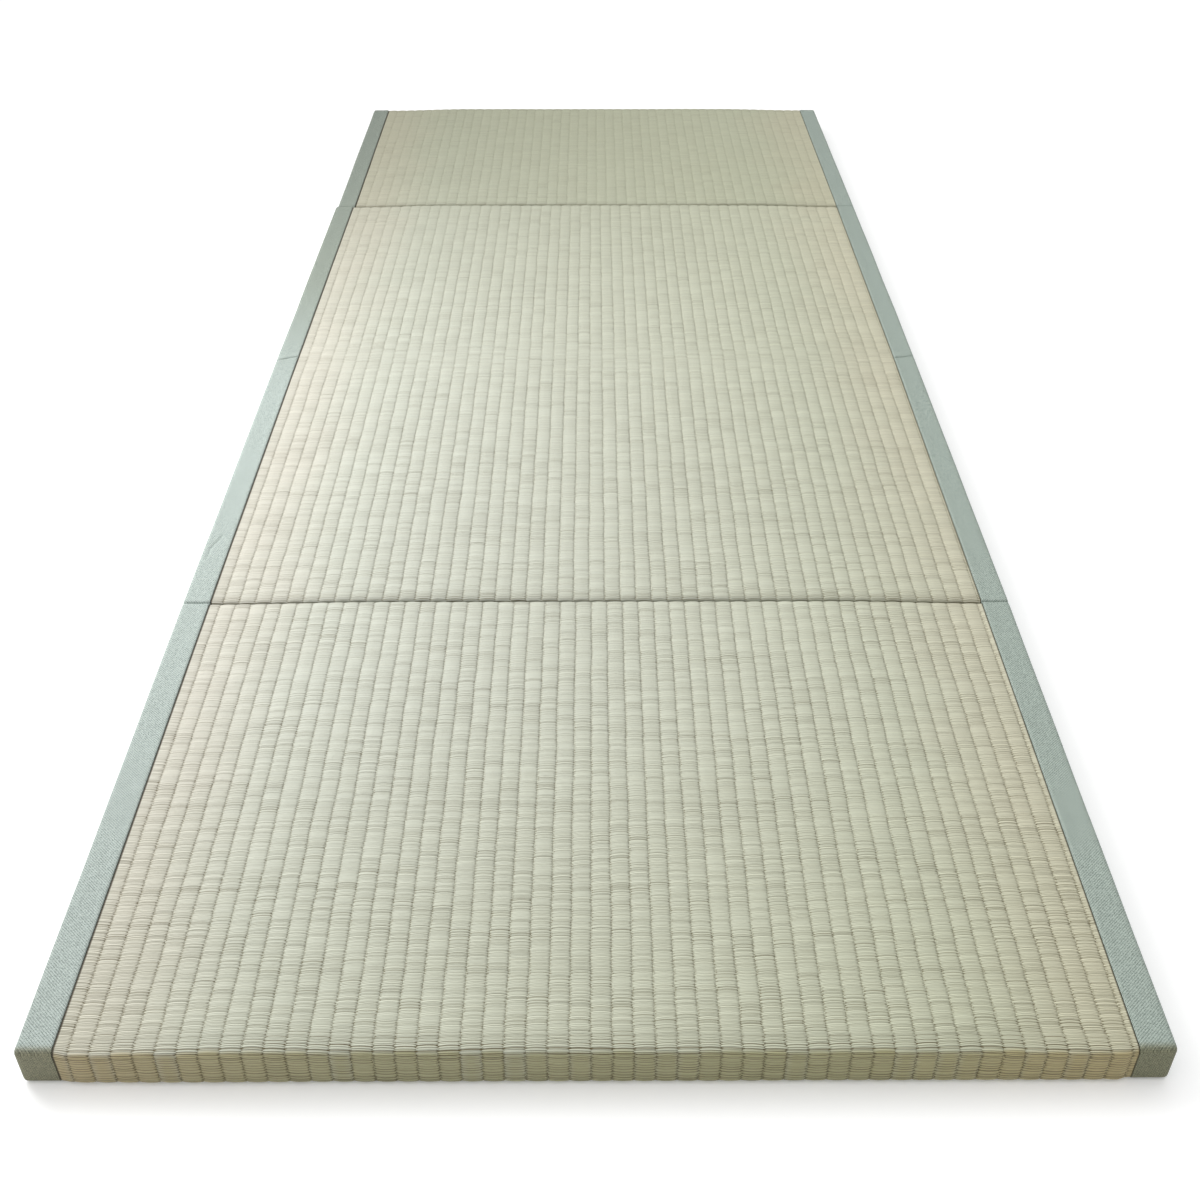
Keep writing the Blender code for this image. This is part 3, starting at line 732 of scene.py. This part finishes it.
# Across the top, from the sewn inner edge outwards: how far the cloth stands above its level
RollPoint = namedtuple("RollPoint", "from_rim_mm above_mm")
ROLL = (
    RollPoint(0.0, -0.75),
    RollPoint(0.35, -0.30),
    RollPoint(1.0, 0.05),
    RollPoint(2.4, 0.25),
    RollPoint(5.0, 0.12),
    RollPoint(10.0, -0.05),
    RollPoint(16.0, 0.0),
    RollPoint(20.0, 0.05),
)

# Across a crease: place along the mat from its middle, and share of its depth
CreasePoint = namedtuple("CreasePoint", "along_mm share")
CREASE = (
    CreasePoint(-5.0, 0.0),
    CreasePoint(-2.4, 0.04),
    CreasePoint(-1.2, 0.18),
    CreasePoint(-0.6, 0.45),
    CreasePoint(-0.25, 1.0),
    CreasePoint(0.25, 1.0),
    CreasePoint(0.6, 0.45),
    CreasePoint(1.2, 0.18),
    CreasePoint(2.4, 0.04),
    CreasePoint(5.0, 0.0),
)
# Depth of a crease at the top rim, the top shoulder, the side's top and bottom, and the underside
OPEN_ABOVE = (0.0040, 0.0025, 0.0020, 0.0, 0.0)
OPEN_BELOW = (0.0024, 0.0021, 0.0010, 0.0012, 0.0025)
# Where the slit is on the underside, the cloth on top bends more gently, so its crease is this much wider
WIDER_BELOW = 1.3

# Small wrinkles in the cloth on top: their line as distances from the sewn edge and places along the mat
Wrinkle = namedtuple("Wrinkle", "side above_mm line_mm")
WRINKLES = (
    Wrinkle(-1, -1.1, ((11.5, -376.0), (14.5, -386.0), (18.0, -396.0), (19.5, -418.0))),
    Wrinkle(1, 1.0, ((2.0, -216.0), (9.0, -218.0), (15.0, -222.0), (19.0, -230.0))),
)
WRINKLE_HALF_WIDTH = 0.0020
# The inner face of the cloth follows the wrinkles only a little
WRINKLE_INSIDE = 0.3


def wrinkle_height(side, from_rim, y):
    """How far the wrinkles on this side lift or lower the cloth at this place."""
    here = Vector((from_rim, y, 0.0))
    height = 0.0
    for wrinkle in WRINKLES:
        if wrinkle.side != side:
            continue
        line = [Vector((across, along, 0.0)) * MM for across, along in wrinkle.line_mm]
        for a, b in zip(line, line[1:]):
            share = min(1.0, max(0.0, (here - a).dot(b - a) / (b - a).length_squared))
            near = max(0.0, 1.0 - (here - a.lerp(b, share)).length / WRINKLE_HALF_WIDTH)
            if abs(wrinkle.above_mm * MM * near) > abs(height):
                height = wrinkle.above_mm * MM * near
    return height


def profile_at(points, place):
    """The value of ROLL or CREASE at this place: straight between their points and level beyond them."""
    for (start, first), (end, last) in zip(points, points[1:]):
        if place <= end * MM:
            share = max(0.0, (place / MM - start) / (end - start))
            return first + (last - first) * share
    return points[-1][1]


def binding_places():
    """Rows along a binding: rounded ends, close rows at creases and wrinkles, and even steps between."""
    tuck = [END_RADIUS * (1 - math.cos(math.radians(90) * i / TUCK_STEPS)) for i in range(TUCK_STEPS + 1)]
    fine = [(fold_y - FINE_REACH, fold_y + FINE_REACH) for fold_y in FOLD_Y]
    for wrinkle in WRINKLES:
        along = [y * MM for _, y in wrinkle.line_mm]
        fine.append((min(along) - WRINKLE_HALF_WIDTH, max(along) + WRINKLE_HALF_WIDTH))
    places = [FRONT + reach for reach in tuck]
    for fine_start, fine_end in sorted(fine):
        for end, step in ((fine_start, BINDING_STEP), (fine_end, FINE_STEP)):
            start = places[-1]
            steps = math.ceil((end - start) / step)
            places += [start + (end - start) * i / steps for i in range(1, steps + 1)]
    start, end = places[-1], BACK - END_RADIUS
    steps = math.ceil((end - start) / BINDING_STEP)
    places += [start + (end - start) * i / steps for i in range(1, steps)]
    return places + [BACK - reach for reach in reversed(tuck)]


def binding_level(side, from_rim, y):
    """How far the cloth on top is pressed down at the folds, at this distance from its rim."""
    depth = 0.0
    share = min(1.0, from_rim / TOP_REACH)
    for fold, fold_y in zip(FOLDS, FOLD_Y):
        ends_mm = fold[1:3] if side < 0 else fold[3:5]
        inner, outer = (end * MM for end in ends_mm)
        depths = OPEN_ABOVE if fold.opens == "top" else OPEN_BELOW
        middle = fold_y + inner + (outer - inner) * share
        deep = depths[0] + (depths[1] - depths[0]) * share
        width = 1.0 if fold.opens == "top" else WIDER_BELOW
        depth += deep * profile_at(CREASE, (y - middle) / width)
    return depth


def side_level(y, which):
    """How far the cloth on the side, or on the underside, is drawn in at the folds."""
    depth = 0.0
    for fold, fold_y in zip(FOLDS, FOLD_Y):
        depths = OPEN_ABOVE if fold.opens == "top" else OPEN_BELOW
        depth += depths[which] * profile_at(CREASE, y - fold_y)
    return depth


def binding_loop(side, y, offset):
    """One line round the binding at this place, from the sewn rim on top to the rim on the underside. The
    offset goes from the cloth's outer face into it."""
    from_end = min(y - FRONT, BACK - y)
    drop = draw = 0.0
    if from_end < END_RADIUS:
        reach = END_RADIUS - from_end
        drop = END_RADIUS - math.sqrt(END_RADIUS**2 - reach**2)
        inner_reach = max(0.0, SIDE_RADIUS - from_end)
        draw = SIDE_RADIUS - math.sqrt(SIDE_RADIUS**2 - inner_reach**2)
    radius = max(SIDE_RADIUS - draw, SMALLEST_CORNER + offset)
    x_side = HALF_WIDTH - draw
    z_top, z_bottom = HEIGHT - drop, drop
    soft = noise.noise(Vector((side * 3.1, y * 14.0, 0.0))) * TOP_SWELL
    soft_side = noise.noise(Vector((side * 5.7, y * 9.0, 4.0))) * SIDE_SWELL
    flat_end = x_side - radius
    points = []
    for width in TOP_LINES_MM:
        from_rim = width * MM
        x = BINDING_RIM + from_rim
        if x < flat_end:
            wrinkle = wrinkle_height(side, from_rim, y) * (WRINKLE_INSIDE if offset else 1.0)
            lifted = profile_at(ROLL, from_rim) * MM + wrinkle + soft
            points.append((x, z_top - offset - binding_level(side, from_rim, y) + lifted))
    shoulder = binding_level(side, TOP_REACH, y)
    side_top, side_bottom, under = (side_level(y, which) for which in (2, 3, 4))
    r = radius - offset
    for i in range(ROUND_STEPS + 1):
        angle = math.radians(90) * i / ROUND_STEPS
        x = flat_end + (r - side_top + soft_side) * math.sin(angle)
        z = z_top - radius + (r - shoulder) * math.cos(angle)
        points.append((x, z))
    z_high, z_low = z_top - radius, z_bottom + radius
    for i in range(1, SIDE_LINES):
        share = i / SIDE_LINES
        deep = side_top + (side_bottom - side_top) * share
        points.append((flat_end + r - deep + soft_side, z_high + (z_low - z_high) * share))
    for i in range(ROUND_STEPS + 1):
        angle = math.radians(90) * i / ROUND_STEPS
        x = flat_end + (r - side_bottom + soft_side) * math.cos(angle)
        z = z_low - (r - under) * math.sin(angle)
        points.append((x, z))
    for width in UNDER_LINES_MM:
        points.append((BINDING_RIM + width * MM, z_bottom + offset + under))
    return points


def binding_mesh(side):
    """The closed strip: its outer and inner face, their closed ends, and the rims that join them."""
    bm = bmesh.new()
    cloth_map = bm.loops.layers.uv.new("cloth")
    girth_of = bm.verts.layers.float.new("girth")
    run_of = bm.verts.layers.float.new("run")
    shells = []
    for offset in (0.0, CLOTH_THICKNESS):
        loops = []
        for place in binding_places():
            squeeze = offset * (1 - 2 * (place - FRONT) / LENGTH)
            y = place + squeeze
            points = binding_loop(side, place, offset)
            loop = []
            girth = 0.0
            for i, (x, z) in enumerate(points):
                if i:
                    girth += math.dist(points[i - 1], points[i])
                vertex = bm.verts.new(laid_out(side * x, y, z))
                vertex[girth_of] = girth
                vertex[run_of] = place
                loop.append(vertex)
            loops.append(loop)
        count = max(len(loop) for loop in loops)
        assert all(len(loop) == count for loop in loops)
        for loop, following in zip(loops, loops[1:]):
            for j in range(count - 1):
                bm.faces.new((loop[j], loop[j + 1], following[j + 1], following[j]))
        bm.faces.new(loops[0])
        bm.faces.new(loops[-1])
        shells.append([*(loop[0] for loop in loops), *(loop[-1] for loop in reversed(loops))])
    outer, inner = shells
    for i in range(len(outer)):
        j = (i + 1) % len(outer)
        bm.faces.new((outer[i], outer[j], inner[j], inner[i]))
    bmesh.ops.recalc_face_normals(bm, faces=bm.faces)
    for face in bm.faces:
        end_face = abs(face.normal.y) > 0.9
        for loop in face.loops:
            if end_face:
                loop[cloth_map].uv = (side * loop.vert.co.x, loop.vert.co.z)
            else:
                loop[cloth_map].uv = (loop.vert[girth_of], loop.vert[run_of])
    mesh = bpy.data.meshes.new("binding")
    bm.to_mesh(mesh)
    bm.free()
    return mesh


# Woven binding cloth: matt cotton and polyester in a twill. Pale warp floats cross a grey-green weft in short
# slanting rows, with a lighter or darker float here and there. The real threads are about half as wide as
# these, which would be too fine to show.
THREAD_SPACING = 0.0008

cloth, t = empty_material("twill_binding_cloth")
place = add(t, "SeparateXYZ", {0: add(t, "UVMap", uv_map="cloth")})
threads = []
for thread_place in place.outputs[:2]:
    counted = add(t, "Math", {0: thread_place, 1: THREAD_SPACING}, operation="DIVIDE")
    number = add(t, "Math", {0: counted}, operation="FLOOR")
    from_edge = add(t, "Math", {0: counted, 1: 0.5}, operation="PINGPONG")
    rounded = add(t, "MapRange", {0: from_edge, 1: 0.0, 2: 0.35, 3: 0.0, 4: 1.0})
    threads.append((number, rounded))
(warp_number, warp_round), (weft_number, weft_round) = threads
step = add(t, "Math", {0: warp_number, 1: 2.0, 2: weft_number}, operation="MULTIPLY_ADD")
turn = add(t, "Math", {0: step, 1: 3.0}, operation="FLOORED_MODULO")
over = add(t, "Math", {0: turn, 1: 1.5}, operation="LESS_THAN")
under_round = add(t, "Math", {0: weft_round, 1: 0.55}, operation="MULTIPLY")
height = add(t, "Mix", {"Factor": over, 2: under_round, 3: warp_round})
thread_at = add(t, "CombineXYZ", {0: warp_number, 1: weft_number})
thread_chance = add(t, "TexWhiteNoise", {"Vector": thread_at}, noise_dimensions="2D")
lift = add(t, "Math", {0: thread_chance, 1: 0.35, 2: height}, operation="MULTIPLY_ADD")
lightness = add(t, "MapRange", {0: lift, 1: 0.20, 2: 1.20, 3: 0.0, 4: 1.0})

# Handling has browned the ends, and painted shade darkens them. Painted light and shade follow the left
# light:
# the left strip darkens from its front half towards the back, and the right strip is a little darker all
# along.
where = add(t, "SeparateXYZ", {0: add(t, "TexCoord").outputs["Object"]})
to_end = add(t, "Math", {0: where.outputs[1]}, operation="ABSOLUTE")
soft_shares = []
for measure, start, end in ((to_end, BACK - 0.008, BACK), (where.outputs[1], -0.08, 0.30)):
    limits = {0: measure, 1: start, 2: end, 3: 0.0, 4: 1.0}
    soft_shares.append(add(t, "MapRange", limits, interpolation_type="SMOOTHSTEP"))
browned_and_shaded_end, back_shade_share = soft_shares
# The left strip's painted light and shade: full at the front, painted shade towards the back
left_light_and_shade = {"Factor": back_shade_share, 6: (1.0, 1.0, 1.02, 1.0), 7: (0.76, 0.75, 0.70, 1.0)}
left_painted_light_and_shade = add(t, "Mix", left_light_and_shade, data_type="RGBA").outputs[2]
on_right = add(t, "Math", {0: where.outputs[0], 1: 0.0}, operation="GREATER_THAN")
light_and_shade_by_side = {"Factor": on_right, 6: left_painted_light_and_shade, 7: (0.915, 0.94, 0.915, 1.0)}
painted_light_and_shade = add(t, "Mix", light_and_shade_by_side, data_type="RGBA").outputs[2]
woven = {"Factor": lightness, 6: linear("#424F49"), 7: linear("#CBD6CE")}
colour = add(t, "Mix", woven, data_type="RGBA").outputs[2]
# Tints: the ends browned by handling and darkened by painted shade, and the painted light and shade of each
# strip
for share, tint in ((browned_and_shaded_end, (0.64, 0.55, 0.39, 1.0)), (1.0, painted_light_and_shade)):
    tinting = {"Factor": share, 6: colour, 7: tint}
    colour = add(t, "Mix", tinting, data_type="RGBA", blend_type="MULTIPLY").outputs[2]
bump = add(t, "Bump", {"Strength": 0.5, "Distance": 0.0002, "Height": height})
shader = add(t, "BsdfPrincipled", {"Base Color": colour, "Roughness": 0.85, "Normal": bump})
add(t, "OutputMaterial", {"Surface": shader})

for name, node, side in (
    ("edge_cloth_left", "binding_left", -1),
    ("edge_cloth_right", "binding_right", 1),
):
    mesh = binding_mesh(side)
    mesh.materials.append(cloth)
    mesh.shade_smooth()
    mesh.set_sharp_from_angle(angle=math.radians(50))
    strip = in_scene(name, mesh)
    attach(strip, "root")
    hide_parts(node)

# The studio
# A plain white floor, a wide soft overhead light that leans from the back, and a nearer soft light on the
# left. The sky is white to the camera and lights the mat only faintly. The camera stands at the front end.
FLOOR_REACH = 40
FLOOR_Z = -0.0002
floor_white, t = empty_material("painted_floor")
shader = add(
    t,
    "BsdfPrincipled",
    {
        "Base Color": linear("#FBFBFB"),
        "Roughness": 0.9,
        "Emission Color": (1.0, 1.0, 1.0, 1.0),
        "Emission Strength": 0.15,
    },
)
add(t, "OutputMaterial", {"Surface": shader})
bm = bmesh.new()
around = ((-1, -1), (1, -1), (1, 1), (-1, 1))
corners = [bm.verts.new((x * FLOOR_REACH, y * FLOOR_REACH, FLOOR_Z)) for x, y in around]
bm.faces.new(corners)
floor_mesh = bpy.data.meshes.new("floor")
bm.to_mesh(floor_mesh)
bm.free()
floor_mesh.materials.append(floor_white)
floor = in_scene("floor", floor_mesh)

world = bpy.data.worlds.new("white_sky")
bpy.context.scene.world = world
world.use_nodes = True
sky = world.node_tree.nodes["Background"]
sky.inputs["Color"].default_value = (1.0, 1.0, 1.0, 1.0)
seen = add(world.node_tree, "LightPath").outputs["Is Camera Ray"]
strength = add(world.node_tree, "MapRange", {0: seen, 1: 0.0, 2: 1.0, 3: 0.14, 4: 1.0})
world.node_tree.links.new(strength.outputs[0], sky.inputs["Strength"])

overhead = bpy.data.lights.new("overhead_soft_light", "SUN")
overhead.angle = math.radians(115)
overhead.energy = 2.55
overhead_light = in_scene("overhead_soft_light", overhead)
overhead_light.rotation_euler = (math.radians(-12), math.radians(-6), 0.0)

key = bpy.data.lights.new("left_soft_light", "AREA")
key.shape = "SQUARE"
key.size = 0.9
key.energy = 13.8
key_light = in_scene("left_soft_light", key)
key_light.location = (-0.9, -0.08, 0.89)
aim = Vector((0.5, -1.0, 0.0)) - key_light.location
key_light.rotation_euler = aim.to_track_quat("-Z", "Y").to_euler()

lens = bpy.data.cameras.new("camera")
lens.lens = 42.55
lens.sensor_width = 36.0
lens.clip_start = 0.01
camera = in_scene("camera", lens)
camera.location = (-0.0013, -1.5984, 0.8633)
camera.rotation_euler = (math.radians(90 - 36.730), math.radians(-0.020), math.radians(-0.212))
bpy.context.scene.camera = camera
bpy.context.scene.view_settings.view_transform = "Standard"
